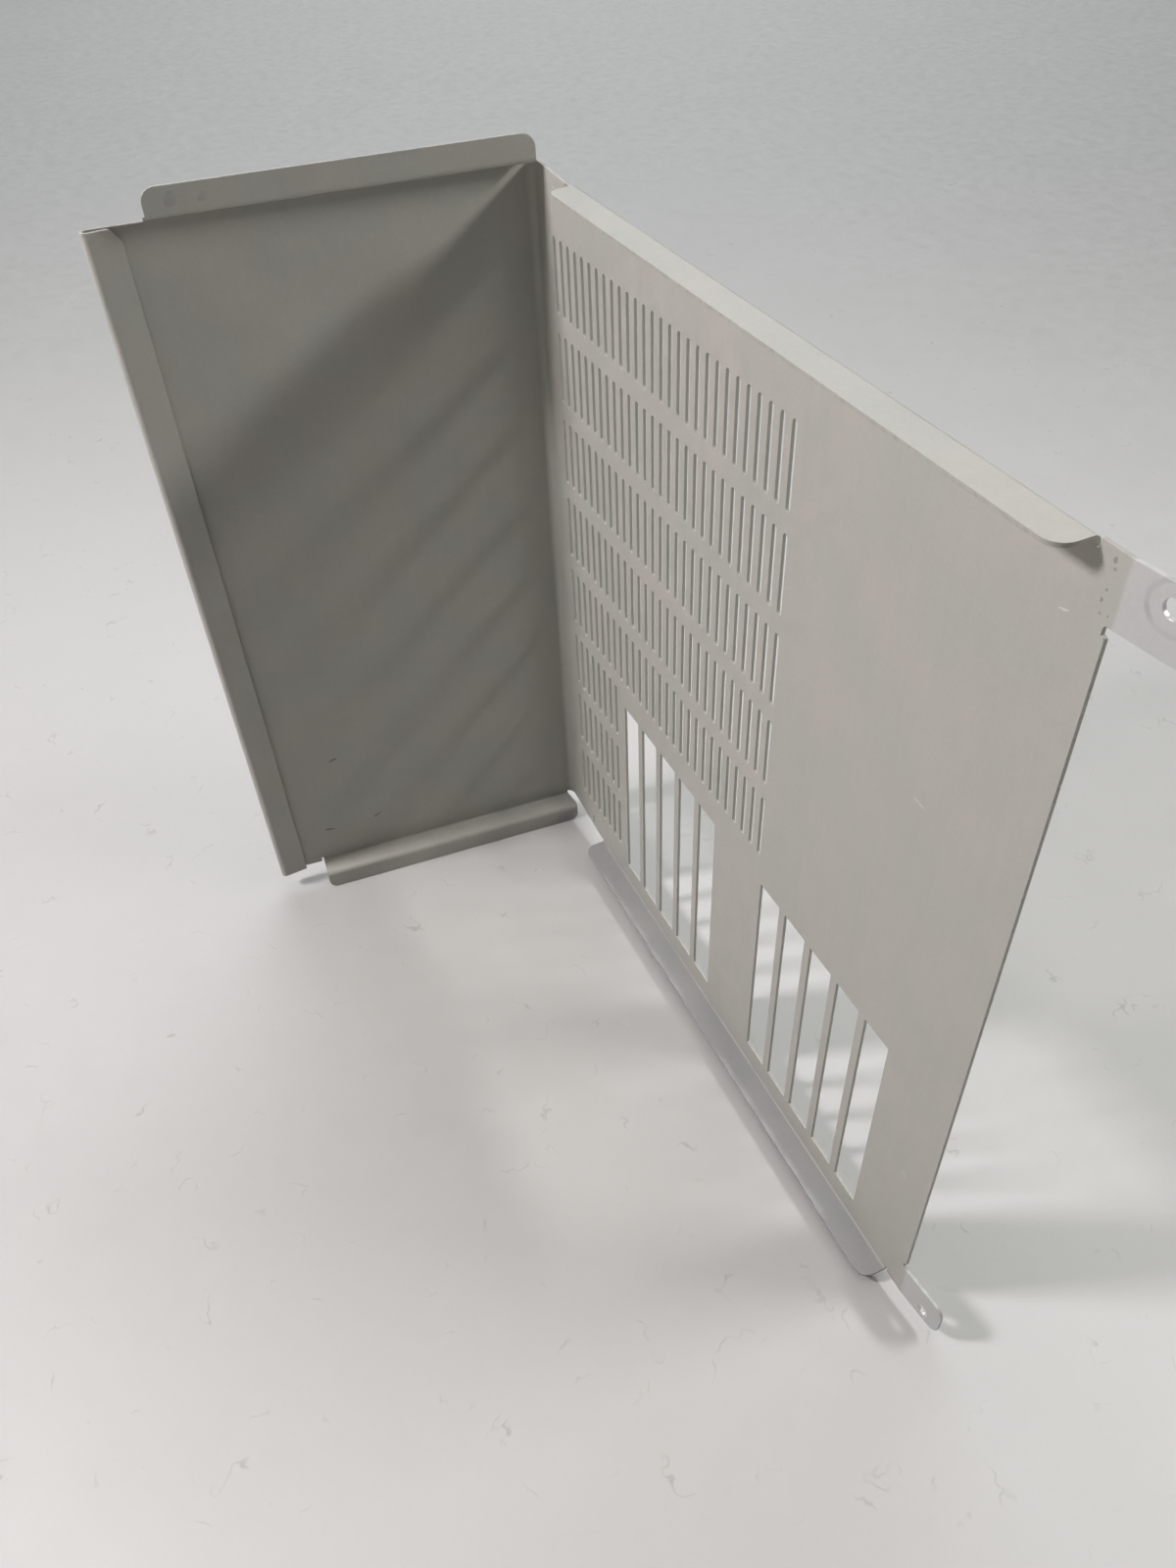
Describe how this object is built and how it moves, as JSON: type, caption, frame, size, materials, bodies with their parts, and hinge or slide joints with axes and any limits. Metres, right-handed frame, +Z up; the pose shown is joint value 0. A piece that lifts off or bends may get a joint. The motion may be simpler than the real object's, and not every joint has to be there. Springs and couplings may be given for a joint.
{
  "type": "ventilated sheet-metal equipment cover",
  "caption": "L-shaped cover folded from one painted steel sheet: a vented panel with slots, barred windows and screw tabs, and a plain wing with stepped lips and a hem.",
  "frame": {"origin": "bottom centre of the cover's bounding box, on the surface that it stands on", "axes": "+Z up along the corner's bend line; the vented panel lies along Y with its outer face towards +X; the wing runs from the corner towards -X"},
  "size_m": [0.1586, 0.327, 0.3308],
  "materials": {
    "painted_sheet": "satin grey-beige paint on folded steel sheet"
  },
  "bodies": {
    "root": {"vent_panel": "painted_sheet", "vent_top_flange": "painted_sheet", "vent_bottom_flange": "painted_sheet", "top_tab": "painted_sheet", "bottom_tab": "painted_sheet", "corner_bend": "painted_sheet", "wing_panel": "painted_sheet", "wing_top_ledge": "painted_sheet", "wing_top_lip": "painted_sheet", "wing_bottom_ledge": "painted_sheet", "wing_bottom_lip": "painted_sheet", "wing_hem": "painted_sheet"}
  },
  "joints": []
}
